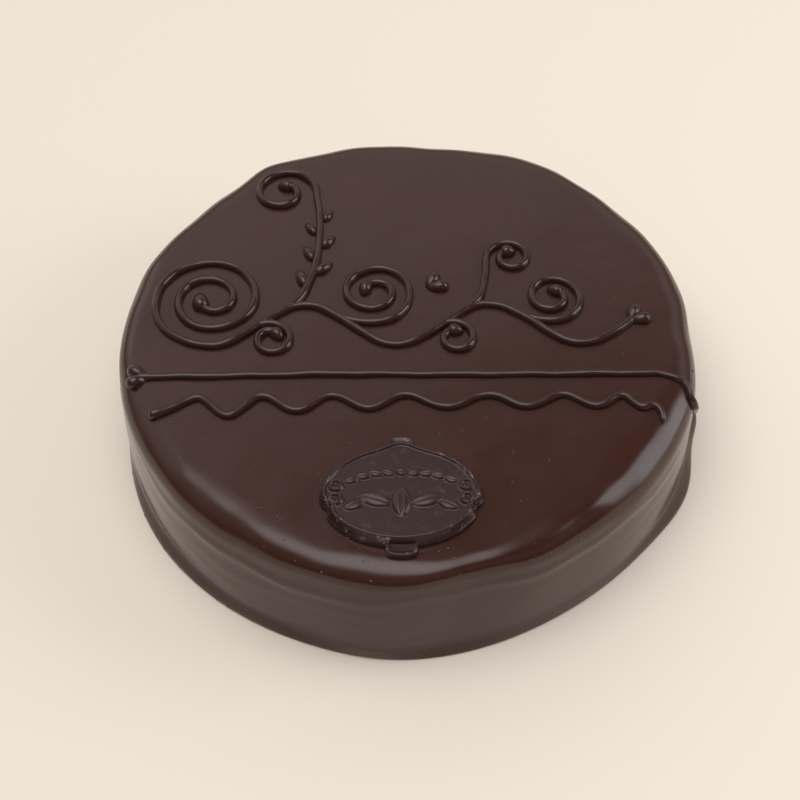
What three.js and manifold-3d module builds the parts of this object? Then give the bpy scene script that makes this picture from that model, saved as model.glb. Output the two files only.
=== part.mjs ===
// A whole chocolate torte under a poured dark glaze, with piped chocolate ornament on top
// and a moulded chocolate plaque lying near the front edge.
// Millimetres, +Z up. The origin is the middle of the flat base, and -Y is the front.
import * as THREE from "three";
import { mergeVertices } from "three/addons/utils/BufferGeometryUtils.js";
import Module from "manifold-3d";

const wasm = await Module();
wasm.setup();
const { Manifold, Mesh } = wasm;

// Driving dimensions of the torte
const TORTE_HEIGHT = 52;
const WALL_RADIUS = 110;
const WALL_FLARE = 0.4; // how much wider the wall is just above the foot than under the rounded edge
const EDGE_SIZE = 9; // how far in from the wall the rounded top edge begins
const EDGE_DROP = 0.85; // the edge's height as a share of that
const FOOT_HEIGHT = 9; // where the glaze begins to spread into the foot it set in
const FOOT_SPREAD = 0.5;
const SECTIONS = 84; // sections round the torte
const EDGE_STEPS = 6;

// Driving dimensions of the piping and the plaque
const BEAD_HALF_WIDTH = 1.65;
const BEAD_HEIGHT = 2.9;
const BEAD_TURN = 26; // degrees a piped line turns between two of its rings
const BEAD_STEP = 10; // the longest stretch between two rings
const PLAQUE_X = -2.8;
const PLAQUE_Y = -77.4;
const PLAQUE_HALF_WIDTH = 26.8;
const PLAQUE_HALF_DEPTH = 19.5;
const PLAQUE_THICKNESS = 5;
const LYING_GAP = 0.3; // between the plaque and the glaze it lies on

// Each row is an unevenness of the hand-poured glaze: azimuth and half width in degrees, size in mm.
const WALL_UNEVENNESS = [
  [84, 9, -2.9],
  [58, 11, 1.7],
  [121, 5.5, 2.6],
  [141, 9, -1.9],
  [4, 8, -1.6],
  [30, 8, 0.6],
  [180, 14, -0.6],
  [-92, 14, 1.0],
  [-56, 22, -2.4],
  [-140, 20, -1.0],
];
const EDGE_UNEVENNESS = [
  [-38, 24, 7],
  [-140, 26, 3],
  [-128, 5, 1.5],
  [-78, 12, -1.5],
];
const FOOT_UNEVENNESS = [
  [-19, 12, 4.0],
  [1, 7, 6.2],
  [-145, 24, 2.2],
  [150, 24, 1.2],
  [75, 18, 1.2],
];

const radians = THREE.MathUtils.degToRad;

function unevenness(rows, azimuth) {
  let sum = 0;
  for (const [middle, halfWidth, size] of rows) {
    const away = THREE.MathUtils.euclideanModulo(azimuth - middle + 180, 360) - 180;
    sum += size * Math.exp(-((away / halfWidth) ** 2));
  }
  return sum;
}

// The glazed outline in one vertical section, as [radius, height] from the top edge down to the base
function section(azimuth) {
  const wall = WALL_RADIUS + unevenness(WALL_UNEVENNESS, azimuth);
  const edge = EDGE_SIZE + unevenness(EDGE_UNEVENNESS, azimuth);
  const spread = FOOT_SPREAD + unevenness(FOOT_UNEVENNESS, azimuth);
  const drop = edge * EDGE_DROP;
  const line = [];
  for (let i = 0; i <= EDGE_STEPS; i++) {
    const turn = ((i / EDGE_STEPS) * Math.PI) / 2;
    line.push([wall - edge + edge * Math.sin(turn), TORTE_HEIGHT - drop * (1 - Math.cos(turn))]);
  }
  const low = wall + WALL_FLARE;
  line.push([(wall + low) / 2 + 0.4, (TORTE_HEIGHT - drop + FOOT_HEIGHT) / 2]);
  line.push([low, FOOT_HEIGHT]);
  line.push([low + spread * 0.3, FOOT_HEIGHT * 0.55]);
  line.push([low + spread, FOOT_HEIGHT * 0.22]);
  line.push([low + spread, FOOT_HEIGHT * 0.09]);
  line.push([low + spread - 0.8, 0]);
  return line;
}

// A point on the glaze at an azimuth, so many millimetres along the section from the axis
function onGlaze(azimuth, travel) {
  const line = [[0, TORTE_HEIGHT], ...section(azimuth)];
  let left = travel;
  let i = 0;
  let span = Math.hypot(line[1][0] - line[0][0], line[1][1] - line[0][1]);
  while (left > span && i < line.length - 2) {
    left -= span;
    i += 1;
    span = Math.hypot(line[i + 1][0] - line[i][0], line[i + 1][1] - line[i][1]);
  }
  const share = left / span;
  const r = line[i][0] + share * (line[i + 1][0] - line[i][0]);
  const z = line[i][1] + share * (line[i + 1][1] - line[i][1]);
  const a = radians(azimuth);
  return new THREE.Vector3(r * Math.cos(a), r * Math.sin(a), z);
}

// The glaze's height under a place on the top or on its rounded edge
function heightAt(x, y) {
  const azimuth = THREE.MathUtils.radToDeg(Math.atan2(y, x));
  const wall = WALL_RADIUS + unevenness(WALL_UNEVENNESS, azimuth);
  const edge = EDGE_SIZE + unevenness(EDGE_UNEVENNESS, azimuth);
  const past = THREE.MathUtils.clamp((Math.hypot(x, y) - wall + edge) / edge, 0, 1);
  return TORTE_HEIGHT - edge * EDGE_DROP * (1 - Math.sqrt(1 - past * past));
}

// A closed surface from rings of points that all have the same count. The first and the last ring are
// capped from their middles, so a cap may have a waist.
function closedLoft(rings) {
  const count = rings[0].length;
  const middles = [rings[0], rings.at(-1)].map((ring) =>
    ring.reduce((sum, p) => sum.addScaledVector(p, 1 / count), new THREE.Vector3()),
  );
  const positions = [...rings.flat(), ...middles].flatMap((p) => [p.x, p.y, p.z]);
  const faces = [];
  for (let i = 0; i + 1 < rings.length; i++) {
    for (let j = 0; j < count; j++) {
      const k = (j + 1) % count;
      const a = i * count;
      faces.push(a + j, a + k, a + count + k, a + j, a + count + k, a + count + j);
    }
  }
  const last = (rings.length - 1) * count;
  const total = rings.length * count;
  for (let j = 0; j < count; j++) {
    const k = (j + 1) % count;
    faces.push(total, k, j);
    faces.push(total + 1, last + j, last + k);
  }
  const geometry = new THREE.BufferGeometry();
  geometry.setAttribute("position", new THREE.Float32BufferAttribute(positions, 3));
  geometry.setIndex(faces);
  return geometry;
}

// A closed geometry as a solid that can be joined and cut, turned inside out if its faces point in
function solid(geometry) {
  const bare = geometry.clone();
  bare.deleteAttribute("normal");
  bare.deleteAttribute("uv");
  const merged = mergeVertices(bare, 1e-4);
  const vertProperties = new Float32Array(merged.attributes.position.array);
  const triVerts = new Uint32Array(merged.index.array);
  const made = new Manifold(new Mesh({ numProp: 3, vertProperties, triVerts }));
  if (made.volume() > 0) return made;
  return new Manifold(new Mesh({ numProp: 3, vertProperties, triVerts: triVerts.reverse() }));
}

function meshOf(made, name, colour, roughness) {
  const { numProp, numVert, vertProperties, triVerts } = made.getMesh();
  const positions = new Float32Array(numVert * 3);
  for (let i = 0; i < numVert; i++) {
    positions.set(vertProperties.subarray(i * numProp, i * numProp + 3), i * 3);
  }
  const geometry = new THREE.BufferGeometry();
  geometry.setAttribute("position", new THREE.BufferAttribute(positions, 3));
  geometry.setIndex(new THREE.BufferAttribute(triVerts, 1));
  const flat = geometry.toNonIndexed();
  flat.computeVertexNormals();
  const material = new THREE.MeshStandardMaterial({ color: colour, roughness, metalness: 0 });
  const mesh = new THREE.Mesh(flat, material);
  mesh.name = name;
  return mesh;
}

// The glazed torte without its piping
function glazedTorte() {
  const depth = section(0).length;
  const rings = [];
  for (let j = 0; j < depth; j++) {
    const ring = [];
    for (let i = 0; i < SECTIONS; i++) {
      const azimuth = (360 / SECTIONS) * i;
      const [r, z] = section(azimuth)[j];
      ring.push(new THREE.Vector3(r * Math.cos(radians(azimuth)), r * Math.sin(radians(azimuth)), z));
    }
    rings.push(ring);
  }
  return solid(closedLoft(rings));
}

// A piped line. Each stop of the route has a point, the way up there, and the line's thickness.
// The cross-section is a bead with a flat foot, sunk a little into the glaze.
const BEAD_SECTION = [
  [-0.85, -0.35],
  [-1, 0.25],
  [-0.6, 0.88],
  [0.6, 0.88],
  [1, 0.25],
  [0.85, -0.35],
];
function pipedLine(route) {
  const rings = route.map(({ point, up, thickness }, i) => {
    const before = route[Math.max(0, i - 1)].point;
    const after = route[Math.min(route.length - 1, i + 1)].point;
    const side = new THREE.Vector3().subVectors(after, before).cross(up).normalize();
    return BEAD_SECTION.map(([across, above]) =>
      point
        .clone()
        .addScaledVector(side, across * BEAD_HALF_WIDTH * thickness)
        .addScaledVector(up, above * BEAD_HEIGHT * (above < 0 ? 1 : thickness)),
    );
  });
  return solid(closedLoft(rings));
}

// A route on the flat top, thicker or thinner at its ends as the bag was pressed
const UP = new THREE.Vector3(0, 0, 1);
function onTop(points, thickness, startSwell, endSwell) {
  const last = points.length - 1;
  return points.map(([x, y], i) => {
    const fromStart = Math.exp(-i * 1.2);
    const fromEnd = Math.exp(-(last - i) * 1.2);
    return {
      point: new THREE.Vector3(x, y, heightAt(x, y)),
      up: UP,
      thickness: thickness * (1 + startSwell * fromStart + endSwell * fromEnd),
    };
  });
}

// Points of a line that starts at a place and heading and then takes bends of [length, turn in degrees]
function bends(start, heading, list) {
  let [x, y] = start;
  let h = radians(heading);
  const points = [[x, y]];
  for (const [length, turn] of list) {
    const steps = Math.max(1, Math.ceil(Math.abs(turn) / BEAD_TURN), Math.ceil(length / BEAD_STEP));
    const arc = radians(turn) / steps;
    const chord = arc ? ((2 * length) / steps / arc) * Math.sin(arc / 2) : length / steps;
    for (let i = 0; i < steps; i++) {
      x += chord * Math.cos(h + arc / 2);
      y += chord * Math.sin(h + arc / 2);
      h += arc;
      points.push([x, y]);
    }
  }
  return points;
}

// The bends of a curl that tightens from one radius to another, turning left (+1) or right (-1)
function curl(outer, inner, turns, side) {
  const parts = Math.round(turns * 8);
  return Array.from({ length: parts }, (_, i) => {
    const radius = outer + ((inner - outer) * (i + 0.5)) / parts;
    return [(2 * Math.PI * radius) / 8, (side * 360) / 8];
  });
}

// The ornament's waving stem
const STEM_WAVE = 70;
const STEM_SWING = 10;
const STEM_MIDDLE = 4;
const STEM_CREST = -39;
const STEM_ENDS = [-74, 86];
function stemY(x) {
  return STEM_MIDDLE + STEM_SWING * Math.cos((2 * Math.PI * (x - STEM_CREST)) / STEM_WAVE);
}
function stemHeading(x) {
  const steepest = (STEM_SWING * 2 * Math.PI) / STEM_WAVE;
  const slope = -steepest * Math.sin((2 * Math.PI * (x - STEM_CREST)) / STEM_WAVE);
  return THREE.MathUtils.radToDeg(Math.atan(slope));
}
// A shoot that leaves the stem at x, a little off its heading, and then takes its own bends
function shoot(x, off, list) {
  return bends([x, stemY(x)], stemHeading(x) + off, list);
}
function stem() {
  const steps = 24;
  const [from, to] = STEM_ENDS;
  return Array.from({ length: steps + 1 }, (_, i) => {
    const x = from + ((to - from) * i) / steps;
    return [x, stemY(x)];
  });
}

// A small drop of piped chocolate, longer along its heading
function drop(x, y, heading, halfLength, halfWidth, height) {
  const geometry = new THREE.SphereGeometry(1, 8, 5);
  geometry.rotateX(Math.PI / 2);
  geometry.scale(halfLength, halfWidth, height);
  geometry.rotateZ(radians(heading));
  geometry.translate(x, y, heightAt(x, y));
  return solid(geometry);
}

// The vine above the long line: the big curl and the stem are one line, and the shoots spring from
// it. Each ends in a blob of its own, where the bag was held still before it was lifted.
const BIG_CURL = shoot(STEM_ENDS[0], 180, curl(23.5, 4, 2.3, -1));
const TALL_SHOOT = shoot(-47, 4, [[14, 38], [34, 20], [20, 4], ...curl(13.5, 3.4, 1.3, 1)]);
const SHOOTS = [
  TALL_SHOOT,
  shoot(-27, 8, [[12, 24], ...curl(16, 3.4, 1.7, 1)]),
  shoot(43, 8, [[10, 20], ...curl(12.5, 3.4, 1.5, 1)]),
  shoot(-57, -8, curl(8.6, 3.4, 1.2, -1)),
  shoot(13, -8, curl(8.2, 3.4, 1.15, -1)),
  shoot(23, 4, [[10, 42], [19, 10], ...curl(9, 3, 1.25, -1)]),
];
const BLOB = [3.3, 2.6, 3.6]; // half length, half width and height
const BIG_BLOB = [4.6, 3.3, 4.1];
function vine() {
  const made = [pipedLine(onTop([...BIG_CURL.toReversed(), ...stem().slice(1)], 1, 0.1, 0.15))];
  made.push(drop(...place(BIG_CURL, Infinity), ...BIG_BLOB));
  for (const points of SHOOTS) {
    made.push(pipedLine(onTop(points, 1, -0.1, 0.1)));
    made.push(drop(...place(points, Infinity), ...BLOB));
  }
  return [...made, ...leaves(), ...buds()];
}

// Where a route is after so many millimetres, and its heading there in degrees, as [x, y, heading]
function place(points, travel) {
  let left = travel;
  let i = 0;
  let span = 0;
  do {
    left -= span;
    i += 1;
    span = Math.hypot(points[i][0] - points[i - 1][0], points[i][1] - points[i - 1][1]);
  } while (left > span && i < points.length - 1);
  const share = Math.min(1, left / span);
  const x = points[i - 1][0] + share * (points[i][0] - points[i - 1][0]);
  const y = points[i - 1][1] + share * (points[i][1] - points[i - 1][1]);
  const heading = Math.atan2(points[i][1] - points[i - 1][1], points[i][0] - points[i - 1][0]);
  return [x, y, THREE.MathUtils.radToDeg(heading)];
}

// Leaves grow from the tall shoot, first on one side and then on the other, smaller towards its tip.
const LEAF_STATIONS = [17, 24, 31, 38, 45, 52];
const LEAF = [5, 2.4, 3];
const LEAF_REACH = 4.2;
function leaves() {
  return LEAF_STATIONS.map((travel, i) => {
    const side = i % 2 ? -1 : 1;
    const [x, y, heading] = place(TALL_SHOOT, travel);
    const [halfLength, halfWidth, height] = LEAF.map((size) => size * (1 - 0.06 * i));
    const out = radians(heading + side * 58);
    const [toX, toY] = [x + LEAF_REACH * Math.cos(out), y + LEAF_REACH * Math.sin(out)];
    return drop(toX, toY, heading + side * 36, halfLength, halfWidth, height);
  });
}

// Heart-shaped buds of two drops, given by where they are and which way they point: at the stem's tip,
// at the long line's start and by itself above the stem
const BUDS = [
  [87.5, 7.5, 220],
  [-100.5, -20.6, 0],
  [11, 25, 215],
];
function buds() {
  return BUDS.flatMap(([x, y, heading]) =>
    [-1, 1].map((side) => {
      const out = radians(heading + side * 90);
      return drop(x + 2 * Math.cos(out), y + 2 * Math.sin(out), heading - side * 28, 4.2, 2.7, 3.3);
    }),
  );
}

// The long straight line, which runs over the right-hand edge and ends part way down the wall
const LINE_Y = -21;
const LINE_START = -101;
const LINE_TOP_END = 92;
const LINE_OVER_EDGE = [
  [-13.2, 100.5],
  [-13.3, 104],
  [-14.3, 107],
  [-15.8, 109.5],
  [-16, 113],
  [-14.8, 118],
  [-14, 122],
];
function longLine() {
  const flatSteps = 16;
  const flat = Array.from({ length: flatSteps + 1 }, (_, i) => {
    const x = LINE_START + ((LINE_TOP_END - LINE_START) * i) / flatSteps;
    return [x, LINE_Y + 0.8 * Math.exp(-(((x + 28) / 30) ** 2))];
  });
  const route = onTop(flat, 0.85, 0.3, 0);
  LINE_OVER_EDGE.forEach(([azimuth, travel], i) => {
    const point = onGlaze(azimuth, travel);
    const along = onGlaze(azimuth, travel + 2).sub(onGlaze(azimuth, travel - 2));
    const across = onGlaze(azimuth + 1, travel).sub(onGlaze(azimuth - 1, travel));
    const up = along.cross(across).normalize();
    route.push({ point, up, thickness: 0.8 - 0.07 * i });
  });
  return pipedLine(route);
}

// The wavy line below it: its crests, and a trough half way between each two
const WAVE_CREST_Y = -30.5;
const WAVE_DEPTH = 6.2;
const WAVE_DEEPER_AT_LEFT = 3.4;
const WAVE_CRESTS = [-78, -54, -28, -1, 30, 57, 80];
const WAVE_START = [-95, -39.4];
const WAVE_TAIL = [
  [83.6, -36.6],
  [86.2, -37.6],
  [88.8, -36],
  [91.2, -37],
  [92.6, -40],
  [92.6, -43.5],
];
function wavyLine() {
  const points = [WAVE_START, [-90, -38.6]];
  WAVE_CRESTS.slice(0, -1).forEach((crest, i) => {
    const next = WAVE_CRESTS[i + 1];
    const depth = WAVE_DEPTH + WAVE_DEEPER_AT_LEFT * Math.exp(-(((crest + 78) / 22) ** 2));
    const steps = 8;
    for (let k = 0; k < steps; k++) {
      const share = k / steps;
      const dip = (1 - Math.cos(2 * Math.PI * share)) / 2;
      points.push([crest + (next - crest) * share, WAVE_CREST_Y - depth * dip]);
    }
  });
  points.push([WAVE_CRESTS.at(-1), WAVE_CREST_Y - 1], ...WAVE_TAIL);
  return pipedLine(onTop(points, 0.95, 0.55, -0.3));
}

// The moulded plaque: an oval tablet with sloping sides, a small point at the top and a waist at each
// end, on a thin flange with a tab above and below. Its face has a rim, end scrolls and a sprig.
const RIM_WIDTH = 1.2;
const RIM_HEIGHT = 0.8;
const SIDE_SLOPE = 1.1;
const FLANGE = 1.0;
const FLANGE_BORDER = 1.4;
const TAB_THICKNESS = 2.3;
const TABLET_SECTIONS = 64;
function tabletEdge(inset, z) {
  return Array.from({ length: TABLET_SECTIONS }, (_, i) => {
    const turn = i / TABLET_SECTIONS;
    const a = 2 * Math.PI * turn + Math.PI / 2;
    const point = 2.4 * Math.exp(-((Math.min(turn, 1 - turn) / 0.035) ** 2));
    const y = (PLAQUE_HALF_DEPTH - inset) * Math.sin(a) + point;
    const waist = 1.5 * Math.exp(-(((y + 5.4) / 1.9) ** 2)) - 0.7 * Math.exp(-(((y - 0.5) / 3.6) ** 2));
    const x = (PLAQUE_HALF_WIDTH - inset - waist) * Math.cos(a);
    return new THREE.Vector3(x, y, z);
  });
}
function slab(corners, thickness, draft) {
  const middle = new THREE.Vector3();
  corners.forEach((p) => middle.addScaledVector(p, 1 / corners.length));
  const upper = corners.map((p) => {
    const reach = p.distanceTo(middle);
    return middle.clone().lerp(p, (reach - draft) / reach).setZ(thickness);
  });
  return solid(closedLoft([corners, upper]));
}
function tab(halfWidth, root, tip) {
  const soft = Math.sign(tip - root) * 1.6;
  const outline = [
    [-halfWidth - 1, root],
    [halfWidth + 1, root],
    [halfWidth, root + soft],
    [halfWidth, tip - soft],
    [halfWidth - 1.6, tip],
    [-halfWidth + 1.6, tip],
    [-halfWidth, tip - soft],
    [-halfWidth, root + soft],
  ];
  return outline.map(([x, y]) => new THREE.Vector3(x, y, 0));
}
function mound(x, y, heading, halfLength, halfWidth, height) {
  const geometry = new THREE.SphereGeometry(1, 8, 4);
  geometry.rotateX(Math.PI / 2);
  geometry.scale(halfLength, halfWidth, height);
  geometry.rotateZ(radians(heading));
  geometry.translate(x, y, PLAQUE_THICKNESS - RIM_HEIGHT);
  return solid(geometry);
}
function sprig() {
  const made = [mound(0, 8.6, 0, 1.9, 1.9, 1.2), mound(0, -3.8, 90, 6.4, 3.6, 1.6)];
  for (const side of [-1, 1]) {
    made.push(mound(side * 23, 2.8, 0, 2.6, 2.6, 1.2));
    made.push(mound(side * 23, -3, 0, 2.6, 2.6, 1.2));
    for (let i = 0; i < 4; i++) {
      made.push(mound(side * (4.9 + 4.2 * i), 8.4 - 0.35 * i * i, side * (24 - 14 * i), 2.9, 1.7, 1.1));
    }
    made.push(mound(side * 9.2, -3.2, side * 18, 6, 3, 1.4));
    made.push(mound(side * 16.2, -5.2, side * -24, 4.2, 2.3, 1.2));
  }
  return made;
}
function plaque() {
  const face = PLAQUE_THICKNESS - RIM_HEIGHT;
  const sunk = solid(closedLoft([tabletEdge(RIM_WIDTH, face), tabletEdge(RIM_WIDTH, PLAQUE_THICKNESS + 1)]));
  const tablet = solid(closedLoft([tabletEdge(-SIDE_SLOPE, 0), tabletEdge(0, PLAQUE_THICKNESS)]));
  const pieces = [
    tablet.subtract(sunk),
    slab(tabletEdge(-FLANGE_BORDER, 0), FLANGE, 0.5),
    slab(tab(4.8, PLAQUE_HALF_DEPTH - 1, PLAQUE_HALF_DEPTH + 7), TAB_THICKNESS, 0.4),
    slab(tab(5.6, -PLAQUE_HALF_DEPTH + 2, -PLAQUE_HALF_DEPTH - 5.6), TAB_THICKNESS, 0.4),
  ];
  return Manifold.union([...pieces, ...sprig()]).translate(PLAQUE_X, PLAQUE_Y, TORTE_HEIGHT + LYING_GAP);
}

const torte = Manifold.union([glazedTorte(), ...vine(), longLine(), wavyLine()]);

const cake = new THREE.Group();
cake.add(meshOf(torte, "torte", 0x3d2620, 0.22));
cake.add(meshOf(plaque(), "plaque", 0x3a2422, 0.4));

export default cake;
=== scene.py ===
import math

import bpy
import numpy as np
from mathutils import Matrix, Vector


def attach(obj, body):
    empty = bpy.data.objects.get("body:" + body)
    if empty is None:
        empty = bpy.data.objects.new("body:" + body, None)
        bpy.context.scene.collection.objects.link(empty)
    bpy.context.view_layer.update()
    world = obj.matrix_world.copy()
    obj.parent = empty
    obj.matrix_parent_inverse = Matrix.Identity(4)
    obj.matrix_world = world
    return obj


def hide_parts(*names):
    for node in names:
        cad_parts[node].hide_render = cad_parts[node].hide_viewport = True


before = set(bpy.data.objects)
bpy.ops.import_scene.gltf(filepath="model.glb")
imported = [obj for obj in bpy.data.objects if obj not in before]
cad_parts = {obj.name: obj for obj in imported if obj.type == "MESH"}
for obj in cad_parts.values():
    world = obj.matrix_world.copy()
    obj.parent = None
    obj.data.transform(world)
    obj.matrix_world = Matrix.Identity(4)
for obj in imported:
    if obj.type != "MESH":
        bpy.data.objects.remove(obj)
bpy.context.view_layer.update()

# Glaze: the whole torte, sponge and jam inside, under a cooked chocolate glaze poured over it warm.
# The glaze ran off the top, rounded the edge, hung a little unevenly on the wall and set in a foot
# round the base. Sizes in millimetres, azimuths in degrees, the front at -90.
MM = 0.001
TORTE_HEIGHT = 52
WALL_RADIUS = 110
WALL_FLARE = 0.35
WALL_BULGE = 0.4
EDGE_SIZE = 9
EDGE_DROP = 0.85
FOOT_HEIGHT = 9
FOOT_SPREAD = 0.35
FOOT_CURVE = 2.2
FOOT_ROUNDING = 0.9
FLAT_STEPS = 40
EDGE_STEPS = 22
WALL_STEPS = 34
FOOT_STEPS = 14
TOE_STEPS = 6
# Each unevenness is (azimuth, half width, size), and each wave (waves in a whole turn, size, phase).
WALL_UNEVENNESS = [(84, 9, -2.9), (58, 11, 1.7), (121, 5.5, 2.6), (141, 9, -1.9), (4, 8, -1.6),
                   (30, 8, 0.6), (180, 14, -0.6), (-92, 14, 1.0), (-56, 22, -2.4), (-140, 20, -1.0)]
EDGE_UNEVENNESS = [(-38, 24, 7), (-140, 26, 3), (-128, 5, 1.5), (-78, 12, -1.5)]
FOOT_UNEVENNESS = [(-19, 12, 4.0), (1, 7, 6.2), (-145, 24, 2.2), (150, 24, 1.2), (75, 18, 1.2)]
EDGE_WAVES = [(11, 0.45, 1), (19, 0.35, 2.4), (31, 0.25, 0)]
SAG_HEIGHT = 37
SAG_WAVES = [(4, 2.2, 0.6), (9, 1.1, 2), (23, 0.5, 0)]
SAG_DEPTH = 0.4
SAG_WIDTH = 2.3
chance = np.random.default_rng(22)
WALL_SWELLS = [(int(chance.integers(4, 17)), chance.uniform(-0.05, 0.05), chance.uniform(0, 2 * math.pi))
               for _ in range(12)]
WALL_SWELL = 0.11
WALL_SWELL_FADES = (5, 6)
RUN_LENGTH = 8.5
RUN_WAVES = [(5, 1.4, 0), (11, 0.9, 1)]
RUN_DEPTH = 0.04
TOP_SWELLS = [(chance.uniform(38, 95), chance.uniform(0, math.pi), chance.uniform(0, 2 * math.pi))
              for _ in range(9)]
TOP_SWELL = 0.022


def unevenness(rows, azimuth):
    """How far the bumps and dips of these rows stand out at an azimuth."""
    total = 0.0
    for middle, half_width, size in rows:
        away = (azimuth - middle + 180) % 360 - 180
        total = total + size * np.exp(-((away / half_width) ** 2))
    return total


def waves_at(rows, turn):
    """The sum of these rows of waves at a turn in radians."""
    return sum(size * np.sin(count * turn + phase) for count, size, phase in rows)


def wall_ripple(azimuth, z):
    """The slow swells of the wall, the sagging ridge round it and the faint runs of the glaze."""
    turn = np.radians(azimuth)
    total = 0.0
    for count, lean, phase in WALL_SWELLS:
        total = total + WALL_SWELL * np.sin(count * turn + lean * z + phase)
    sag = SAG_HEIGHT + waves_at(SAG_WAVES, turn)
    total = total + SAG_DEPTH * (0.7 + 0.3 * np.sin(5 * turn)) * np.exp(-(((z - sag) / SAG_WIDTH) ** 2))
    run = np.sin(2 * math.pi * z / RUN_LENGTH + waves_at(RUN_WAVES, turn))
    fading = (0.5 + 0.5 * np.sin(3 * turn + 2)) * np.sin(0.11 * z + 2 * np.sin(4 * turn))
    return total + RUN_DEPTH * run * fading


def top_ripple(x, y):
    """The top's long, shallow swells."""
    total = 0.0
    for length, heading, phase in TOP_SWELLS:
        travel = x * math.cos(heading) + y * math.sin(heading)
        total = total + TOP_SWELL * np.sin(2 * math.pi * travel / length + phase)
    return total


def edge_size(azimuth):
    """The size of the rounded upper edge, with the small waves that the poured glaze set in."""
    return EDGE_SIZE + unevenness(EDGE_UNEVENNESS, azimuth) + waves_at(EDGE_WAVES, math.radians(azimuth))


def glaze_section(azimuth):
    """Radii and heights down one vertical section of the glaze, from the axis to the base."""
    wall = WALL_RADIUS + unevenness(WALL_UNEVENNESS, azimuth)
    edge = edge_size(azimuth)
    spread = FOOT_SPREAD + unevenness(FOOT_UNEVENNESS, azimuth)
    drop = edge * EDGE_DROP
    low = wall + WALL_FLARE
    flat = np.linspace(0, 1, FLAT_STEPS)[:-1] * (wall - edge)
    turn = np.linspace(0, math.pi / 2, EDGE_STEPS)
    edge_r = wall - edge + edge * np.sin(turn)
    edge_z = TORTE_HEIGHT - drop * (1 - np.cos(turn))
    down = np.linspace(0, 1, WALL_STEPS)[1:]
    wall_r = wall + (low - wall) * down + WALL_BULGE * np.sin(math.pi * down)
    wall_z = TORTE_HEIGHT - drop + (FOOT_HEIGHT - TORTE_HEIGHT + drop) * down
    out = np.linspace(0, 1, FOOT_STEPS)[1:]
    foot_r = low + spread * np.sin(out * math.pi / 2) ** FOOT_CURVE
    foot_z = FOOT_HEIGHT + (FOOT_ROUNDING - FOOT_HEIGHT) * out
    roll = np.linspace(0, math.pi / 2, TOE_STEPS)[1:]
    toe_r = low + spread - FOOT_ROUNDING * (1 - np.cos(roll))
    toe_z = FOOT_ROUNDING * (1 - np.sin(roll))
    radii = np.concatenate([flat, edge_r, wall_r, foot_r, toe_r])
    heights = np.concatenate([np.full(len(flat), TORTE_HEIGHT), edge_z, wall_z, foot_z, toe_z])
    below_top, above_base = WALL_SWELL_FADES
    hung = np.clip((TORTE_HEIGHT - heights) / below_top, 0, 1) * np.clip(heights / above_base, 0, 1)
    return radii + hung * wall_ripple(azimuth, heights), heights


def glaze_ring(azimuth):
    """The same section as points in space, with the top's faint unevenness."""
    radii, heights = glaze_section(azimuth)
    x = radii * math.cos(math.radians(azimuth))
    y = radii * math.sin(math.radians(azimuth))
    level = np.clip((heights - TORTE_HEIGHT + 2) / 2, 0, 1)
    return np.stack([x, y, heights + level * top_ripple(x, y)], axis=1)


def height_at(x, y):
    """The glaze's height under a place on the top or on its rounded edge."""
    azimuth = math.degrees(math.atan2(y, x))
    wall = WALL_RADIUS + unevenness(WALL_UNEVENNESS, azimuth)
    edge = edge_size(azimuth)
    past = min(max((math.hypot(x, y) - wall + edge) / edge, 0), 1)
    return TORTE_HEIGHT - edge * EDGE_DROP * (1 - math.sqrt(1 - past * past)) + top_ripple(x, y)


def linear(hex_colour):
    """An sRGB hex colour as the linear values that the shaders take."""
    channels = [int(hex_colour[i:i + 2], 16) / 255 for i in (1, 3, 5)]
    return [c / 12.92 if c <= 0.04045 else ((c + 0.055) / 1.055) ** 2.4 for c in channels] + [1.0]


def add_piece(name, points, faces, material, slot_name):
    """A smooth mesh from points in millimetres, fixed to the torte when a slot name is given."""
    mesh = bpy.data.meshes.new(name)
    mesh.from_pydata([tuple(p) for p in np.asarray(points) * MM], [], faces)
    mesh.shade_smooth()
    mesh.materials.append(material)
    piece = bpy.data.objects.new(name, mesh)
    bpy.context.scene.collection.objects.link(piece)
    if slot_name:
        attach(piece, "root")
    return piece


def new_material(name):
    material = bpy.data.materials.new(name)
    material.use_nodes = True
    return material, material.node_tree, material.node_tree.nodes["Principled BSDF"]


def add_node(tree, kind, settings=None, values=None, links=None):
    """A node with its settings, the values of its sockets, and the sockets that feed it."""
    node = tree.nodes.new(kind)
    for key, value in (settings or {}).items():
        setattr(node, key, value)
    for key, value in (values or {}).items():
        node.inputs[key].default_value = value
    for key, source in (links or {}).items():
        tree.links.new(source, node.inputs[key])
    return node


def per_metre(length):
    """A texture scale whose features are that many millimetres apart."""
    return 1 / (length * MM)


# Cooked glaze sets with a soft shine: reflections in it are blurred and sway a little with its slow
# waves, the colour clouds from dark to less dark, and a few pits are left where air bubbles broke.
glaze_finish, tree, shader = new_material("Poured chocolate glaze")
place = add_node(tree, "ShaderNodeTexCoord").outputs["Object"]
clouds = add_node(tree, "ShaderNodeTexNoise",
                  values={"Scale": per_metre(46), "Detail": 3.0, "Roughness": 0.5},
                  links={"Vector": place})
shades = add_node(tree, "ShaderNodeMix", {"data_type": "RGBA"},
                  {6: linear("#361c14"), 7: linear("#3e2118")}, {0: clouds.outputs["Fac"]})
tree.links.new(shades.outputs[2], shader.inputs["Base Color"])
dull = add_node(tree, "ShaderNodeTexNoise",
                values={"Scale": per_metre(17), "Detail": 4.0, "Roughness": 0.6},
                links={"Vector": place})
gloss = add_node(tree, "ShaderNodeMapRange",
                 values={"From Min": 0.3, "From Max": 0.7, "To Min": 0.15, "To Max": 0.23},
                 links={"Value": dull.outputs["Fac"]})
tree.links.new(gloss.outputs["Result"], shader.inputs["Roughness"])
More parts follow.
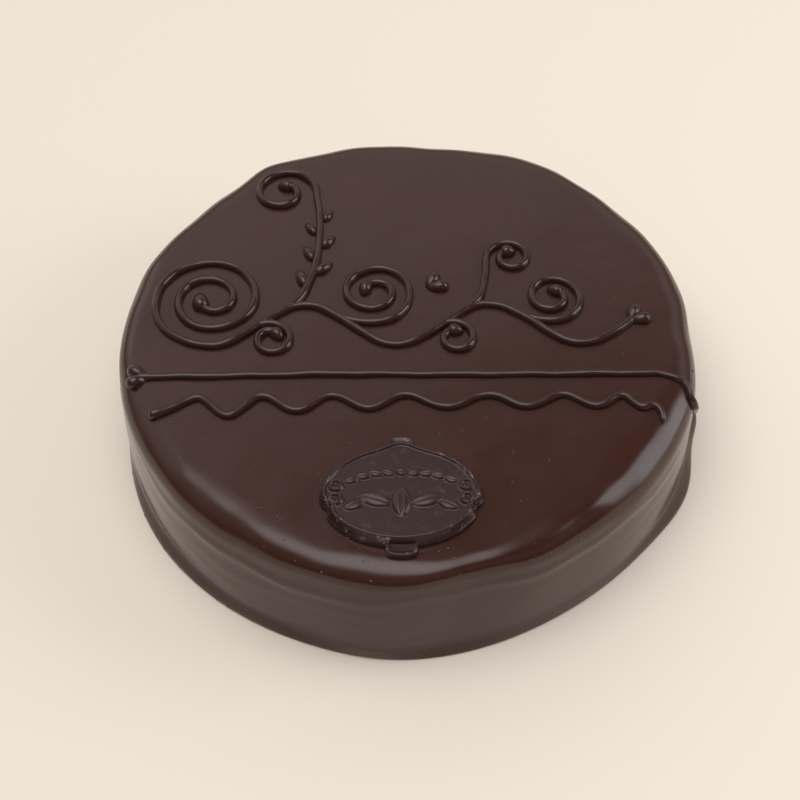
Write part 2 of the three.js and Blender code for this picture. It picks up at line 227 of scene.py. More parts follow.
waves = add_node(tree, "ShaderNodeTexNoise",
                 values={"Scale": per_metre(13), "Detail": 2.0, "Roughness": 0.45},
                 links={"Vector": place})
soft = add_node(tree, "ShaderNodeBump", values={"Strength": 0.5, "Distance": 0.22 * MM},
                links={"Height": waves.outputs["Fac"]})
grain = add_node(tree, "ShaderNodeTexNoise",
                 values={"Scale": per_metre(1.6), "Detail": 4.0, "Roughness": 0.6},
                 links={"Vector": place})
fine = add_node(tree, "ShaderNodeBump", values={"Strength": 0.3, "Distance": 0.02 * MM},
                links={"Height": grain.outputs["Fac"], "Normal": soft.outputs["Normal"]})
bubbles = add_node(tree, "ShaderNodeTexVoronoi", values={"Scale": per_metre(7.5), "Randomness": 1.0},
                   links={"Vector": place})
pits = add_node(tree, "ShaderNodeMapRange", {"interpolation_type": "SMOOTHSTEP"},
                {"From Min": 0.035, "From Max": 0.075, "To Min": 0.0, "To Max": 1.0},
                {"Value": bubbles.outputs["Distance"]})
pitted = add_node(tree, "ShaderNodeBump", values={"Strength": 0.5, "Distance": 0.16 * MM},
                  links={"Height": pits.outputs["Result"], "Normal": fine.outputs["Normal"]})
tree.links.new(pitted.outputs["Normal"], shader.inputs["Normal"])
shader.inputs["IOR"].default_value = 1.46

AROUND = 480
rings = np.stack([glaze_ring(360 * i / AROUND) for i in range(AROUND)])
depth = rings.shape[1]
top_middle = [0, 0, TORTE_HEIGHT + top_ripple(0, 0)]
glaze_points = np.concatenate([[top_middle], rings[:, 1:].reshape(-1, 3), [[0, 0, 0]]])
glaze_faces = []
for i in range(AROUND):
    here = 1 + i * (depth - 1)
    there = 1 + (i + 1) % AROUND * (depth - 1)
    glaze_faces.append((0, here, there))
    for j in range(depth - 2):
        glaze_faces.append((here + j, here + j + 1, there + j + 1, there + j))
    glaze_faces.append((here + depth - 2, len(glaze_points) - 1, there + depth - 2))
glaze = add_piece("Chocolate_glaze", glaze_points, glaze_faces, glaze_finish, "chocolate_glaze")
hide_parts("torte")

# Scrolled vine: chocolate piped by hand on the set glaze, one unbroken waving stem with curls that
# spring from it. The bead has a flat foot and a round back, and swells where the bag was held still.
BEAD_HALF_WIDTH = 1.65
BEAD_HEIGHT = 2.55
BEAD_SINK = 0.9
BEAD_SIDES = 16
BEAD_STEP = 0.9
HAND_TREMOR = 0.16
TREMOR_LENGTHS = (4.1, 1.9)
HAND_PRESSURE = 0.035
PRESSURE_LENGTHS = (1.3, 3.3, 7.9)
SWELL_LENGTH = 3.4
CURL_PARTS = 8
DROP_SIDES = 18
DROP_RINGS = 13
DROP_LEAN = 0.22
STEM_WAVE = 70
STEM_SWING = 10
STEM_MIDDLE = 4
STEM_CREST = -39
STEM_ENDS = (-74, 86)


def bends(start, heading, turns):
    """Points a millimetre apart along bends of (length, turn in degrees)."""
    x, y = start
    h = math.radians(heading)
    points = [(x, y)]
    for length, turn in turns:
        steps = max(1, round(length))
        for _ in range(steps):
            h += math.radians(turn) / steps / 2
            x += length / steps * math.cos(h)
            y += length / steps * math.sin(h)
            h += math.radians(turn) / steps / 2
            points.append((x, y))
    return points


def curl(outer, inner, turns, side):
    """Bends that wind up from the outer radius to the inner one, to the left where side is 1."""
    parts = round(turns * CURL_PARTS)
    radii = [outer + (inner - outer) * (i + 0.5) / parts for i in range(parts)]
    return [(2 * math.pi * r / CURL_PARTS, side * 360 / CURL_PARTS) for r in radii]


def stem_y(x):
    return STEM_MIDDLE + STEM_SWING * math.cos(2 * math.pi * (x - STEM_CREST) / STEM_WAVE)


def stem_heading(x):
    slope = -STEM_SWING * 2 * math.pi / STEM_WAVE * math.sin(2 * math.pi * (x - STEM_CREST) / STEM_WAVE)
    return math.degrees(math.atan(slope))


def shoot(x, off, turns):
    """The bends of a shoot that leaves the stem so many degrees off its heading."""
    return bends((x, stem_y(x)), stem_heading(x) + off, turns)


def bead(route, ups, thickness, start_swell, end_swell):
    """A closed round-backed bead along the route, with rounded ends and the unevenness of a hand."""
    route = np.asarray(route, float)
    ups = np.asarray(ups, float)
    travel = np.concatenate([[0], np.cumsum(np.linalg.norm(np.diff(route, axis=0), axis=1))])
    length = travel[-1]
    first_end = BEAD_HALF_WIDTH * thickness * (1 + max(start_swell, 0))
    last_end = BEAD_HALF_WIDTH * thickness * (1 + max(end_swell, 0))
    cap = 1 - np.cos(np.linspace(0.12, math.pi / 2, 7))
    middle = np.linspace(first_end, length - last_end, max(3, int(length / BEAD_STEP)))[1:-1]
    stops = np.concatenate([cap * first_end, middle, length - cap[::-1] * last_end])
    centre = np.stack([np.interp(stops, travel, route[:, k]) for k in range(3)], axis=1)
    up = np.stack([np.interp(stops, travel, ups[:, k]) for k in range(3)], axis=1)
    up /= np.linalg.norm(up, axis=1, keepdims=True)
    side = np.cross(np.gradient(centre, axis=0), up)
    side /= np.linalg.norm(side, axis=1, keepdims=True)
    phases = chance.uniform(0, 2 * math.pi, 5)
    lengths = TREMOR_LENGTHS + PRESSURE_LENGTHS
    slow, quick, short, middling, long = [np.sin(stops / n + phase) for n, phase in zip(lengths, phases)]
    centre = centre + side * (HAND_TREMOR * (slow + 0.3 * quick))[:, None]
    size = thickness * (1 + HAND_PRESSURE * (0.5 * short + middling + 1.4 * long))
    from_end = length - stops
    size *= 1 + start_swell * np.exp(-stops / SWELL_LENGTH) + end_swell * np.exp(-from_end / SWELL_LENGTH)
    inward = np.clip(np.minimum(stops / first_end, from_end / last_end), 0, 1)
    size *= np.sqrt(np.clip(1 - (1 - inward) ** 2, 0.004, 1))
    angles = np.arange(BEAD_SIDES) * 2 * math.pi / BEAD_SIDES
    across = np.cos(angles) * BEAD_HALF_WIDTH
    lift = np.sin(angles)
    above = np.where(lift > 0, np.abs(lift) ** 0.9 * BEAD_HEIGHT, lift * BEAD_SINK)
    section = side[:, None] * across[None, :, None] + up[:, None] * above[None, :, None]
    points = centre[:, None] + size[:, None, None] * section
    count = len(stops)
    faces = [tuple(range(BEAD_SIDES))[::-1], tuple(range((count - 1) * BEAD_SIDES, count * BEAD_SIDES))]
    for i in range(count - 1):
        for j in range(BEAD_SIDES):
            k = (j + 1) % BEAD_SIDES
            a = i * BEAD_SIDES
            faces.append((a + j, a + k, a + BEAD_SIDES + k, a + BEAD_SIDES + j))
    return points.reshape(-1, 3), faces


def top_bead(points, thickness, start_swell, end_swell):
    """A bead that lies on the top and follows its height."""
    route = [(x, y, height_at(x, y)) for x, y in points]
    return bead(route, [(0, 0, 1)] * len(route), thickness, start_swell, end_swell)


def place_on(points, travel):
    """Where a route is after so many millimetres, and its heading there in degrees."""
    points = np.asarray(points, float)
    lengths = np.concatenate([[0], np.cumsum(np.linalg.norm(np.diff(points, axis=0), axis=1))])
    travel = min(travel, lengths[-1])
    before, after = [np.array([np.interp(s, lengths, points[:, k]) for k in (0, 1)])
                     for s in (travel - 0.5, travel + 0.5)]
    here = [np.interp(travel, lengths, points[:, k]) for k in (0, 1)]
    return here[0], here[1], math.degrees(math.atan2(*(after - before)[::-1]))


def drop(x, y, heading, half_length, half_width, height):
    """A pressed drop of chocolate, fuller behind and drawn to a tip where the bag was pulled away."""
    along = np.cos(np.linspace(0, math.pi, DROP_RINGS + 2))[1:-1]
    round_about = np.arange(DROP_SIDES) * 2 * math.pi / DROP_SIDES
    h = math.radians(heading)
    points = []
    for u in along:
        full = math.sqrt(1 - u * u) * (1 - DROP_LEAN * u)
        for a in round_about:
            v = full * math.cos(a) * half_width
            w = full * math.sin(a) * (height if math.sin(a) > 0 else BEAD_SINK)
            points.append((x + u * half_length * math.cos(h) - v * math.sin(h),
                           y + u * half_length * math.sin(h) + v * math.cos(h),
                           height_at(x, y) + w))
    faces = [tuple(range(DROP_SIDES)), tuple(range(len(points) - DROP_SIDES, len(points)))[::-1]]
    for i in range(len(along) - 1):
        for j in range(DROP_SIDES):
            k = (j + 1) % DROP_SIDES
            a = i * DROP_SIDES
            faces.append((a + k, a + j, a + DROP_SIDES + j, a + DROP_SIDES + k))
    return np.array(points), faces


def joined(parts):
    """The points and faces of several parts as those of one."""
    points = []
    faces = []
    for part_points, part_faces in parts:
        start = sum(len(p) for p in points)
        points.append(part_points)
        faces.extend(tuple(start + v for v in face) for face in part_faces)
    return np.concatenate(points), faces


stem = [(x, stem_y(x)) for x in np.linspace(*STEM_ENDS, 180)]
big_curl = shoot(STEM_ENDS[0], 180, curl(23.5, 4, 2.3, -1))
tall_shoot = shoot(-47, 4, [(14, 38), (34, 20), (20, 4)] + curl(13.5, 3.4, 1.3, 1))
shoots = [
    tall_shoot,
    shoot(-27, 8, [(12, 24)] + curl(16, 3.4, 1.7, 1)),
    shoot(43, 8, [(10, 20)] + curl(12.5, 3.4, 1.5, 1)),
    shoot(-57, -8, curl(8.6, 3.4, 1.2, -1)),
    shoot(13, -8, curl(8.2, 3.4, 1.15, -1)),
    shoot(23, 4, [(10, 42), (19, 10)] + curl(9, 3, 1.25, -1)),
]
# Each drop is (half length, half width, height), and each bud (x, y, heading).
BLOB = (3.3, 2.6, 3.6)
BIG_BLOB = (4.6, 3.3, 4.1)
LEAF_STATIONS = [17, 24, 31, 38, 45, 52]
LEAF = (5, 2.4, 3)
LEAF_SHRINK = 0.06
LEAF_REACH = 4.2
LEAF_OFF_STEM = 58
LEAF_HEADING = 36
BUDS = [(87.5, 7.5, 220), (-100.5, -20.6, 0), (11, 25, 215)]
BUD_LOBE = (4.2, 2.7, 3.3)
BUD_SPREAD = 2
BUD_OPENING = 28
vine = [top_bead(big_curl[::-1] + stem[1:], 1, 0.1, 0.15), drop(*place_on(big_curl, math.inf), *BIG_BLOB)]
for points in shoots:
    vine.append(top_bead(points, 1, -0.1, 0.1))
    vine.append(drop(*place_on(points, math.inf), *BLOB))
for i, travel in enumerate(LEAF_STATIONS):
    side = -1 if i % 2 else 1
    x, y, heading = place_on(tall_shoot, travel)
    leaf_size = [size * (1 - LEAF_SHRINK * i) for size in LEAF]
    out = math.radians(heading + side * LEAF_OFF_STEM)
    vine.append(drop(x + LEAF_REACH * math.cos(out), y + LEAF_REACH * math.sin(out),
                     heading + side * LEAF_HEADING, *leaf_size))
for x, y, heading in BUDS:
    for side in (-1, 1):
        out = math.radians(heading + side * 90)
        vine.append(drop(x + BUD_SPREAD * math.cos(out), y + BUD_SPREAD * math.sin(out),
                         heading - side * BUD_OPENING, *BUD_LOBE))

# Piped chocolate sets with a closed skin, which draws a thin bright line along the back of each bead.
piping_finish, tree, shader = new_material("Piped couverture")
place = add_node(tree, "ShaderNodeTexCoord").outputs["Object"]
streaks = add_node(tree, "ShaderNodeTexNoise", values={"Scale": per_metre(9), "Detail": 2.0},
                   links={"Vector": place})
shades = add_node(tree, "ShaderNodeMix", {"data_type": "RGBA"},
                  {6: linear("#341e18"), 7: linear("#3b231d")}, {0: streaks.outputs["Fac"]})
tree.links.new(shades.outputs[2], shader.inputs["Base Color"])
skin = add_node(tree, "ShaderNodeTexNoise", values={"Scale": per_metre(1.2), "Detail": 3.0},
                links={"Vector": place})
skin_bump = add_node(tree, "ShaderNodeBump", values={"Strength": 0.35, "Distance": 0.05 * MM},
                     links={"Height": skin.outputs["Fac"]})
tree.links.new(skin_bump.outputs["Normal"], shader.inputs["Normal"])
shader.inputs["Roughness"].default_value = 0.15
shader.inputs["IOR"].default_value = 1.46
add_piece("Piped_vine", *joined(vine), piping_finish, "chocolate_glaze")

# Long line: one straight bead piped right across below the vine. It was carried on over the edge,
# where it thinned out and stopped at the top of the wall.
LINE_Y = -21
LINE_START = -101
LINE_TOP_END = 92
LINE_SAG = 0.8
LINE_SAG_X = -28
LINE_SAG_REACH = 30
LINE_THICKNESS = 0.85
# From there it runs over (azimuth, millimetres along the glaze from its axis).
LINE_OVER_EDGE = [(-13.2, 100.5), (-13.3, 104), (-14.3, 107), (-15.8, 109.5), (-16, 113),
                  (-14.8, 118), (-14, 122)]


def on_glaze(azimuth, travel):
    """The point of the glaze so many millimetres along its section from the axis."""
    ring = glaze_ring(azimuth)
    lengths = np.concatenate([[0], np.cumsum(np.linalg.norm(np.diff(ring, axis=0), axis=1))])
    return np.array([np.interp(travel, lengths, ring[:, k]) for k in range(3)])


line_route = []
for x in np.linspace(LINE_START, LINE_TOP_END, 190):
    sag = LINE_SAG * math.exp(-(((x - LINE_SAG_X) / LINE_SAG_REACH) ** 2))
    line_route.append((x, LINE_Y + sag, TORTE_HEIGHT))
line_ups = [(0, 0, 1)] * len(line_route)
over = np.array(LINE_OVER_EDGE, float)
for share in np.linspace(0, len(over) - 1, 40):
    azimuth = np.interp(share, range(len(over)), over[:, 0])
    travel = np.interp(share, range(len(over)), over[:, 1])
    along = on_glaze(azimuth, travel + 1) - on_glaze(azimuth, travel - 1)
    across = on_glaze(azimuth + 0.6, travel) - on_glaze(azimuth - 0.6, travel)
    line_route.append(tuple(on_glaze(azimuth, travel)))
    up = np.cross(along, across)
    line_ups.append(tuple(up / np.linalg.norm(up)))
long_line = bead(line_route, line_ups, LINE_THICKNESS, 0.3, -0.4)
add_piece("Piped_line", *long_line, piping_finish, "chocolate_glaze")

# Wavy line: a bead in shallow waves under the straight one, begun with a blob at the left, with
# deeper waves there than at the right, and trailed off in a thin tail near the edge.
WAVE_CREST_Y = -30.5
WAVE_DEPTH = 6.2
WAVE_DEEPER_AT_LEFT = 3.4
WAVE_DEEPER_REACH = 22
WAVE_STEPS = 8
WAVE_THICKNESS = 0.95
WAVE_CRESTS = [-78, -54, -28, -1, 30, 57, 80]
WAVE_START = [(-95, -39.4), (-90, -38.6)]
WAVE_TAIL = [(83.6, -36.6), (86.2, -37.6), (88.8, -36), (91.2, -37), (92.6, -40), (92.6, -43.5)]

wave_stops = list(WAVE_START)
for crest, following in zip(WAVE_CRESTS, WAVE_CRESTS[1:]):
    from_left = (crest - WAVE_CRESTS[0]) / WAVE_DEEPER_REACH
    wave_depth = WAVE_DEPTH + WAVE_DEEPER_AT_LEFT * math.exp(-(from_left ** 2))
    for share in np.arange(WAVE_STEPS) / WAVE_STEPS:
        dip = (1 - math.cos(2 * math.pi * share)) / 2
        wave_stops.append((crest + (following - crest) * share, WAVE_CREST_Y - wave_depth * dip))
wave_stops += [(WAVE_CRESTS[-1], WAVE_CREST_Y - 1)] + WAVE_TAIL


def rounded(stops, passes):
    """The stops with their corners cut again and again, until the line through them is smooth."""
    points = np.array(stops, float)
    for _ in range(passes):
        near = points[:-1] * 0.75 + points[1:] * 0.25
        far = points[:-1] * 0.25 + points[1:] * 0.75
        points = np.concatenate([points[:1], np.stack([near, far], axis=1).reshape(-1, 2), points[-1:]])
    return points


wavy_line = top_bead(rounded(wave_stops, 3), WAVE_THICKNESS, 0.55, -0.3)
add_piece("Piped_wave", *wavy_line, piping_finish, "chocolate_glaze")

# Plaque: an oval tablet of dark chocolate cast in a mould and laid on the glaze before it set. Its
# rim, end scrolls and sprig are cast with it; a thin flange and two tabs show where it was filled.
PLAQUE_X = -2.8
PLAQUE_Y = -77.4
PLAQUE_HALF_WIDTH = 26.8
PLAQUE_HALF_DEPTH = 19.5
PLAQUE_THICKNESS = 5
RIM_WIDTH = 1.2
RIM_HEIGHT = 0.8
TIP_HEIGHT = 2.4
TIP_SHARE = 0.035
FLANGE = 1.0
FLANGE_BORDER = 1.4
TAB_THICKNESS = 2.3
TAB_HOLLOW = 0.5
TAB_CORNER = 1.6
LYING_GAP = 0.3
FACE = PLAQUE_THICKNESS - RIM_HEIGHT
FACE_RINGS = 56
TABLET_SECTIONS = 480
# The pointed top takes up a share of the outline's turn. Each notch or bulge is (depth, y, half width)
# and each leaf (x, y, heading, half length, half width, height); those off the middle are doubled.
NOTCHES = [(1.5, -5.4, 1.9), (-0.7, 0.5, 3.6)]
ROW_BUD = ((0, 8.6), 0, 1.9, 1.9, 1.2)
ROW_LEAVES = [(4.9 + 4.2 * i, 8.4 - 0.35 * i * i, 24 - 14 * i, 2.9, 1.7, 1.1) for i in range(4)]
POD = ((0, -3.8), 90, 6.4, 3.6, 1.6)
POD_LEAVES = [(9.2, -3.2, 18, 6, 3, 1.4), (16.2, -5.2, -24, 4.2, 2.3, 1.2)]
SCROLLS = [(23, 2.8), (23, -3)]
SCROLL_HEIGHT = 1.2
SCROLL_RADIUS = 2.05


def tablet_edge(inset):
    """The tablet's outline drawn in by the inset: an oval with a pointed top and a notch each side."""
    turn = np.arange(TABLET_SECTIONS) / TABLET_SECTIONS
    angle = 2 * math.pi * turn + math.pi / 2
    point = TIP_HEIGHT * np.exp(-((np.minimum(turn, 1 - turn) / TIP_SHARE) ** 2))
    y = (PLAQUE_HALF_DEPTH - inset) * np.sin(angle) + point
    waist = sum(depth * np.exp(-(((y - middle) / half_width) ** 2)) for depth, middle, half_width in NOTCHES)
    return np.stack([(PLAQUE_HALF_WIDTH - inset - waist) * np.cos(angle), y], axis=1)


def mound(x, y, middle, heading, half_length, half_width, height):
    """The height of one rounded leaf with a vein over the plaque's face, everywhere on it."""
    h = math.radians(heading)
    u = ((x - middle[0]) * math.cos(h) + (y - middle[1]) * math.sin(h)) / half_length
    v = (-(x - middle[0]) * math.sin(h) + (y - middle[1]) * math.cos(h)) / half_width
    body = np.sqrt(np.clip(1 - u * u - v * v / np.clip(1 - 0.3 * np.abs(u), 0.2, 1), 0, 1))
    return height * body * (1 - 0.35 * np.exp(-((v / 0.16) ** 2)))


def scroll(x, y, middle):
    """The height of an end scroll: a round ridge with a bead inside it."""
    away = np.hypot(x - middle[0], y - middle[1])
    ridge = np.exp(-(((away - SCROLL_RADIUS) / 0.55) ** 2))
    return SCROLL_HEIGHT * np.maximum(ridge, np.exp(-((away / 0.75) ** 2)))


def relief(x, y):
    """The height of the whole relief over the plaque's face."""
    height = np.maximum(mound(x, y, *ROW_BUD), mound(x, y, *POD))
    for side in (-1, 1):
        for out, up, heading, *sizes in ROW_LEAVES + POD_LEAVES:
            height = np.maximum(height, mound(x, y, (side * out, up), side * heading, *sizes))
        for out, up in SCROLLS:
            height = np.maximum(height, scroll(x, y, (side * out, up)))
    return height


def loft(rows):
    """A closed skin over rows of points, the first row round the middle of the upper face."""
    count = len(rows[0])
    points = np.concatenate(rows)
    faces = [tuple(range(count)), tuple(range(len(points) - count, len(points)))[::-1]]
    for i in range(len(rows) - 1):
        for j in range(count):
            k = (j + 1) % count
            a = i * count
            faces.append((a + k, a + j, a + count + j, a + count + k))
    return points, faces


def tablet():
    """The tablet from the middle of its face, over the rim and down its sloping side."""
    rows = []
    inner = tablet_edge(RIM_WIDTH + 0.45)
    for share in np.linspace(0.012, 1, FACE_RINGS):
        ring = inner * share
        rows.append(np.column_stack([ring, FACE + relief(ring[:, 0], ring[:, 1])]))
    top = PLAQUE_THICKNESS
    rim = [(RIM_WIDTH + 0.15, FACE + 0.12), (RIM_WIDTH - 0.1, FACE + 0.5), (RIM_WIDTH - 0.3, top - 0.06),
           (0.75, top), (0.45, top), (0.2, top - 0.07), (0.02, top - 0.25), (-0.1, top - 0.6)]
    side = [(-0.8, 1.9), (-1.0, 1.4), (-1.35, 1.08), (-FLANGE_BORDER, FLANGE - 0.02), (-FLANGE_BORDER, 0)]
    for inset, level in rim + side:
        rows.append(np.column_stack([tablet_edge(inset), np.full(TABLET_SECTIONS, level)]))
    return loft(rows)


def slab(outline, thickness, edge, hollow):
    """A flat piece with a rounded upper edge, its middle hollowed, from an anticlockwise outline."""
    outline = np.asarray(outline, float)
    middle = outline.mean(axis=0)
    reach = np.linalg.norm(outline - middle, axis=1, keepdims=True)
    profile = [(edge * 5, thickness - hollow), (edge * 3.4, thickness - hollow * 0.8),
               (edge * 2, thickness - hollow * 0.1), (edge, thickness),
               (edge * 0.45, thickness - edge * 0.2), (0.1, thickness - edge), (0, 0)]
    rows = []
    for inset, level in profile:
        row = middle + (outline - middle) * (1 - inset / reach)
        rows.append(np.column_stack([row, np.full(len(outline), level)]))
    return loft(rows)


def softened(corners, passes):
    """A closed outline with its corners cut again and again."""
    outline = np.array(corners, float)
    for _ in range(passes):
        following = np.roll(outline, -1, axis=0)
        near = outline * 0.75 + following * 0.25
        far = outline * 0.25 + following * 0.75
        outline = np.stack([near, far], axis=1).reshape(-1, 2)
    return outline


def tab(half_width, root, tip):
    """The outline of a tab that leaves the tablet at its root and widens a little there."""
    soft = math.copysign(TAB_CORNER, tip - root)
    corners = [(-half_width - 1, root), (half_width + 1, root), (half_width, root + soft),
               (half_width, tip), (-half_width, tip), (-half_width, root + soft)]
    outline = softened(corners, 4)
    return outline if tip > root else outline[::-1]


BORDER_WAVES = [(5, 0.13, 0.4), (13, 0.13, 2.2)]
ragged = 0.74 + waves_at(BORDER_WAVES, np.arange(TABLET_SECTIONS) * 2 * math.pi / TABLET_SECTIONS)
plaque_parts = [
    tablet(),
    slab(tablet_edge(-FLANGE_BORDER * ragged), FLANGE, 0.3, 0),
    slab(tab(4.8, PLAQUE_HALF_DEPTH - 1, PLAQUE_HALF_DEPTH + 7), TAB_THICKNESS, 0.5, TAB_HOLLOW),
    slab(tab(5.6, -PLAQUE_HALF_DEPTH + 2, -PLAQUE_HALF_DEPTH - 5.6), TAB_THICKNESS, 0.5, TAB_HOLLOW),
]
plaque_points, plaque_faces = joined(plaque_parts)
plaque_points = plaque_points + [PLAQUE_X, PLAQUE_Y, TORTE_HEIGHT + LYING_GAP]

# Cast chocolate leaves the mould with a satin skin, and its rubbed rim and border look pale and dusty.
plaque_finish, tree, shader = new_material("Moulded dark chocolate")
place = add_node(tree, "ShaderNodeTexCoord").outputs["Object"]
worn = add_node(tree, "ShaderNodeAttribute", {"attribute_name": "scuffed"})
flecks = add_node(tree, "ShaderNodeTexNoise",
                  values={"Scale": per_metre(0.7), "Detail": 4.0, "Roughness": 0.7},
                  links={"Vector": place})
patches = add_node(tree, "ShaderNodeTexNoise", values={"Scale": per_metre(5), "Detail": 2.0},
                   links={"Vector": place})
chalky = add_node(tree, "ShaderNodeMath", {"operation": "MULTIPLY"},
                  links={0: flecks.outputs["Fac"], 1: patches.outputs["Fac"]})
mask = add_node(tree, "ShaderNodeMapRange",
                values={"From Min": 0.32, "From Max": 0.37, "To Min": 0.0, "To Max": 0.85},
                links={"Value": chalky.outputs["Value"]})
scuffs = add_node(tree, "ShaderNodeMath", {"operation": "MULTIPLY"},
                  links={0: mask.outputs["Result"], 1: worn.outputs["Fac"]})
shades = add_node(tree, "ShaderNodeMix", {"data_type": "RGBA"},
                  {6: linear("#301918"), 7: linear("#9a8a82")}, {0: scuffs.outputs["Value"]})
tree.links.new(shades.outputs[2], shader.inputs["Base Color"])
cast_skin = add_node(tree, "ShaderNodeBump", values={"Strength": 0.4, "Distance": 0.06 * MM},
                     links={"Height": flecks.outputs["Fac"]})
tree.links.new(cast_skin.outputs["Normal"], shader.inputs["Normal"])
shader.inputs["Roughness"].default_value = 0.3
shader.inputs["IOR"].default_value = 1.45
plaque = add_piece("Moulded_plaque", plaque_points, plaque_faces, plaque_finish, "moulded_chocolate")
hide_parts("plaque")
off_middle = np.hypot((plaque_points[:, 0] - PLAQUE_X) / PLAQUE_HALF_WIDTH,
                      (plaque_points[:, 1] - PLAQUE_Y) / PLAQUE_HALF_DEPTH)
rubbed_rim = np.exp(-(((off_middle - 1.0) / 0.05) ** 2))
rubbed_border = np.clip((off_middle - 1.08) / 0.04, 0, 1)
wear = 0.1 + 0.9 * rubbed_rim + 0.6 * rubbed_border
scuffed = plaque.data.attributes.new("scuffed", "FLOAT", "POINT")
scuffed.data.foreach_set("value", wear.astype(np.float32))

# Crumbs: shavings and crumbs of chocolate that fell near the plaque, on the front edge and at the
# foot as the torte was finished and moved. They lie loose, most under a millimetre across. Each lot
# is (azimuth, half width, how far out along the glaze, count).
CRUMB_SIZES = (0.25, 0.6)
CRUMBS = [(-100, 24, (95, 106), 26), (-60, 60, (108, 112), 18), (-95, 75, (153, 158), 22)]
CRUMBS_WITHIN = ((-110.6, -111.4, 0.05), (115.8, 110, 58))
CUBE = np.array([(x, y, z) for x in (-1, 1) for y in (-1, 1) for z in (-1, 1)]) / 2
CUBE_FACES = [(0, 1, 3, 2), (4, 6, 7, 5), (0, 4, 5, 1), (2, 3, 7, 6), (0, 2, 6, 4), (1, 5, 7, 3)]

crumb_parts = []
for middle, half_width, (near, far), count in CRUMBS:
    for _ in range(count):
        spot = on_glaze(middle + chance.uniform(-half_width, half_width), chance.uniform(near, far))
        size = chance.uniform(*CRUMB_SIZES)
        shape = chance.uniform(0.6, 1.3, (8, 3))
        corners = CUBE * shape * size + spot + [0, 0, size * 0.2]
        crumb_parts.append((np.clip(corners, *CRUMBS_WITHIN), CUBE_FACES))

# Broken chocolate has no polished skin, so a crumb looks dull and paler than the glaze under it.
crumb_finish, tree, shader = new_material("Loose chocolate crumb")
place = add_node(tree, "ShaderNodeTexCoord").outputs["Object"]
mottle = add_node(tree, "ShaderNodeTexNoise", values={"Scale": per_metre(2.5), "Detail": 2.0},
                  links={"Vector": place})
shades = add_node(tree, "ShaderNodeMix", {"data_type": "RGBA"},
                  {6: linear("#4a3029"), 7: linear("#7d665a")}, {0: mottle.outputs["Fac"]})
tree.links.new(shades.outputs[2], shader.inputs["Base Color"])
shader.inputs["Roughness"].default_value = 0.6
add_piece("Crumbs", *joined(crumb_parts), crumb_finish, "chocolate_glaze")

# Table: a plain, matt, cream surface that the torte stands on. It belongs to the setting and reaches
# far past the torte on every side. It is too matt to mirror anything.
TABLE_REACH = 4000
TABLE_LEVEL = -0.1
floor_finish, tree, shader = new_material("Cream table top")
shader.inputs["Base Color"].default_value = linear("#f2e7d9")
shader.inputs["Roughness"].default_value = 0.9
shader.inputs["Specular IOR Level"].default_value = 0.0
table_corners = [(x * TABLE_REACH, y * TABLE_REACH, TABLE_LEVEL)
                 for x, y in [(-1, -1), (1, -1), (1, 1), (-1, 1)]]
table_top = add_piece("Table top", table_corners, [(0, 1, 2, 3)], floor_finish, None)

# Light: a soft panel overhead, a faint one at the back left, and a tall one at the right that lays
# the grey band along the rounded edge. The room is dim in front and lighter behind. Each panel is
# (name, place, width and height, power, colour).
PANELS = [
    ("Overhead panel", (-100, -100, 1300), (1560, 1120), 4.3, "#ffffff"),
    ("Back left panel", (-1000, 1000, 620), (700, 500), 0.5, "#fffaf5"),
    ("Right panel", (1200, 0, 520), (620, 980), 5.6, "#f8faff"),
]
for name, position, (width, height), power, colour in PANELS:
    lamp = bpy.data.lights.new(name, "AREA")
    lamp.shape = "RECTANGLE"
    lamp.size = width * MM
    lamp.size_y = height * MM
    lamp.energy = power
    lamp.color = linear(colour)[:3]
    holder = bpy.data.objects.new(name, lamp)
    holder.location = Vector(position) * MM
    holder.rotation_euler = (-holder.location).to_track_quat("-Z", "Y").to_euler()
    bpy.context.scene.collection.objects.link(holder)

CEILING_LIGHT = 2.3
CEILING_LIGHT_TOWARDS = (-0.12, -0.14, 0.98)
world = bpy.data.worlds.new("Room")
bpy.context.scene.world = world
world.use_nodes = True
tree = world.node_tree
around = add_node(tree, "ShaderNodeTexCoord").outputs["Generated"]
direction = add_node(tree, "ShaderNodeSeparateXYZ", links={0: around})
behind = add_node(tree, "ShaderNodeMapRange", {"interpolation_type": "SMOOTHSTEP"},
                  {"From Min": -0.4, "From Max": 0.5, "To Min": 0.3, "To Max": 1.0},
                  {"Value": direction.outputs["Y"]})
rising = add_node(tree, "ShaderNodeMapRange", {"interpolation_type": "SMOOTHSTEP"},
                  {"From Min": 0.05, "From Max": 0.62, "To Min": 0.22, "To Max": 0.86},
                  {"Value": direction.outputs["Z"]})
slant = add_node(tree, "ShaderNodeMath", {"operation": "MULTIPLY_ADD"}, {1: 0.3},
                 {0: direction.outputs["X"], 2: direction.outputs["Z"]})
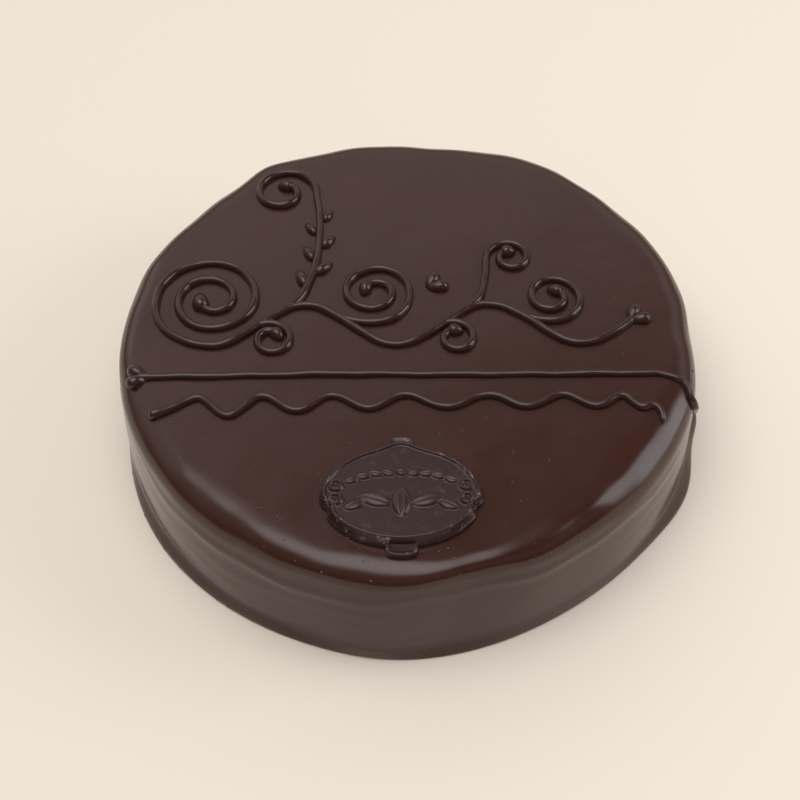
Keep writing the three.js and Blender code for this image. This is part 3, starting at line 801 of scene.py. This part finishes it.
falling = add_node(tree, "ShaderNodeMapRange", {"interpolation_type": "SMOOTHSTEP"},
                   {"From Min": 0.72, "From Max": 0.82, "To Min": 1.0, "To Max": 0.2},
                   {"Value": slant.outputs["Value"]})
wall_light = add_node(tree, "ShaderNodeMath", {"operation": "MULTIPLY"},
                      links={0: rising.outputs["Result"], 1: falling.outputs["Result"]})
room = add_node(tree, "ShaderNodeMath", {"operation": "MULTIPLY"},
                links={0: behind.outputs["Result"], 1: wall_light.outputs["Value"]})
upward = add_node(tree, "ShaderNodeVectorMath", {"operation": "DOT_PRODUCT"},
                  {1: CEILING_LIGHT_TOWARDS}, {0: around})
ceiling = add_node(tree, "ShaderNodeMapRange", {"interpolation_type": "SMOOTHERSTEP"},
                   {"From Min": 0.8, "From Max": 1.0, "To Min": 0.0, "To Max": CEILING_LIGHT},
                   {"Value": upward.outputs["Value"]})
glow = add_node(tree, "ShaderNodeMath", {"operation": "ADD"},
                links={0: room.outputs["Value"], 1: ceiling.outputs["Result"]})
backdrop = tree.nodes["Background"]
backdrop.inputs["Color"].default_value = linear("#fffdfb")
tree.links.new(glow.outputs["Value"], backdrop.inputs["Strength"])
bpy.context.scene.view_settings.view_transform = "Standard"

# Camera: above the front and looking down on the top, with a longish lens, as for a cake
# photographed across a counter.
CAMERA_TARGET = (-3.0, 9.7, 0)
CAMERA_DISTANCE = 700
CAMERA_ELEVATION = 50.96
CAMERA_ROLL = -0.45
LENS = 77.7
SENSOR_WIDTH = 36
rise = math.radians(CAMERA_ELEVATION)
target = Vector(CAMERA_TARGET) * MM
eye = target + Vector((0, -math.cos(rise), math.sin(rise))) * CAMERA_DISTANCE * MM
camera_data = bpy.data.cameras.new("Camera")
camera_data.lens = LENS
camera_data.sensor_width = SENSOR_WIDTH
camera = bpy.data.objects.new("Camera", camera_data)
facing = (target - eye).to_track_quat("-Z", "Y").to_matrix().to_4x4()
camera.matrix_world = Matrix.Translation(eye) @ facing @ Matrix.Rotation(math.radians(CAMERA_ROLL), 4, "Z")
bpy.context.scene.collection.objects.link(camera)
bpy.context.scene.camera = camera
